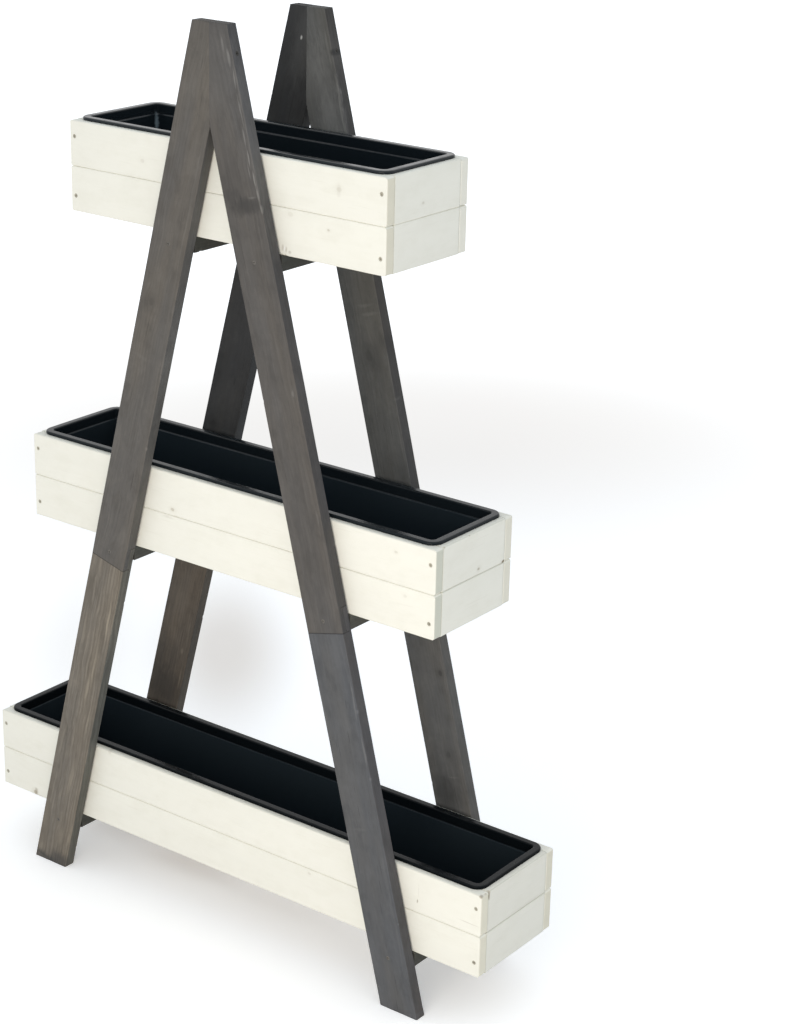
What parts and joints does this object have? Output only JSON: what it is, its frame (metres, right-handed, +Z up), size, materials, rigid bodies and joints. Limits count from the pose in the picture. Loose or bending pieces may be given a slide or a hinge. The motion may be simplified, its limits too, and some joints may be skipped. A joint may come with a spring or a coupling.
{
  "type": "ladder plant stand",
  "caption": "Tall timber ladder stand of leaning frames that carry tiers of painted planter boxes with lift-out plastic liners.",
  "frame": {"origin": "on the floor, midway between the feet, under the middle of the boxes", "axes": "+X along the boxes towards their right end, +Y from the front frame to the rear frame, +Z up"},
  "size_m": [1, 0.236, 1.45],
  "materials": {
    "front_frame_stain": "grey stained softwood, matt, the upper lengths of the front frame",
    "front_frame_worn": "grey-brown stained softwood with open streaky grain, the lower lengths of the front frame",
    "rear_frame_stain": "dark grey stained softwood, matt",
    "bearer_stain": "dark grey stained softwood, matt",
    "cream_paint": "cream painted softwood, matt, with faint knots",
    "bare_wood": "bare sawn softwood",
    "black_plastic": "moulded black plastic with a soft sheen",
    "screw_steel": "dulled zinc"
  },
  "bodies": {
    "stand": {"front_left_upper_leg": "front_frame_stain", "front_left_lower_leg": "front_frame_worn", "front_right_upper_leg": "front_frame_stain", "front_right_lower_leg": "front_frame_worn", "rear_left_upper_leg": "rear_frame_stain", "rear_left_lower_leg": "rear_frame_stain", "rear_right_upper_leg": "rear_frame_stain", "rear_right_lower_leg": "rear_frame_stain", "top_left_bearer": "bearer_stain", "top_right_bearer": "bearer_stain", "middle_left_bearer": "bearer_stain", "middle_right_bearer": "bearer_stain", "bottom_left_bearer": "bearer_stain", "bottom_right_bearer": "bearer_stain", "top_front_upper_board": "cream_paint", "top_front_lower_board": "cream_paint", "top_rear_upper_board": "cream_paint", "top_rear_lower_board": "cream_paint", "top_left_upper_board": "cream_paint", "top_left_lower_board": "cream_paint", "top_right_upper_board": "cream_paint", "top_right_lower_board": "cream_paint", "middle_front_upper_board": "cream_paint", "middle_front_lower_board": "cream_paint", "middle_rear_upper_board": "cream_paint", "middle_rear_lower_board": "cream_paint", "middle_left_upper_board": "cream_paint", "middle_left_lower_board": "cream_paint", "middle_right_upper_board": "cream_paint", "middle_right_lower_board": "cream_paint", "bottom_front_upper_board": "cream_paint", "bottom_front_lower_board": "cream_paint", "bottom_rear_upper_board": "cream_paint", "bottom_rear_lower_board": "cream_paint", "bottom_left_upper_board": "cream_paint", "bottom_left_lower_board": "cream_paint", "bottom_right_upper_board": "cream_paint", "bottom_right_lower_board": "cream_paint", "top_front_slat": "bare_wood", "top_rear_slat": "bare_wood", "middle_front_slat": "bare_wood", "middle_rear_slat": "bare_wood", "bottom_front_slat": "bare_wood", "bottom_rear_slat": "bare_wood", "top_bearer_screws": "screw_steel", "middle_bearer_screws": "screw_steel", "bottom_bearer_screws": "screw_steel", "top_corner_screws": "screw_steel", "middle_corner_screws": "screw_steel", "bottom_corner_screws": "screw_steel", "top_fixing_screws": "screw_steel", "middle_fixing_screws": "screw_steel", "bottom_fixing_screws": "screw_steel", "apex_screws": "screw_steel"},
    "top_liner": {"top_liner": "black_plastic"},
    "middle_liner": {"middle_liner": "black_plastic"},
    "bottom_liner": {"bottom_liner": "black_plastic"}
  },
  "joints": [
    {"name": "top_liner_lift", "type": "slide", "parent": "stand", "child": "top_liner", "axis": [0, 0, 1], "range_m": [0, 0.13]},
    {"name": "middle_liner_lift", "type": "slide", "parent": "stand", "child": "middle_liner", "axis": [0, 0, 1], "range_m": [0, 0.13]},
    {"name": "bottom_liner_lift", "type": "slide", "parent": "stand", "child": "bottom_liner", "axis": [0, 0, 1], "range_m": [0, 0.13]}
  ]
}
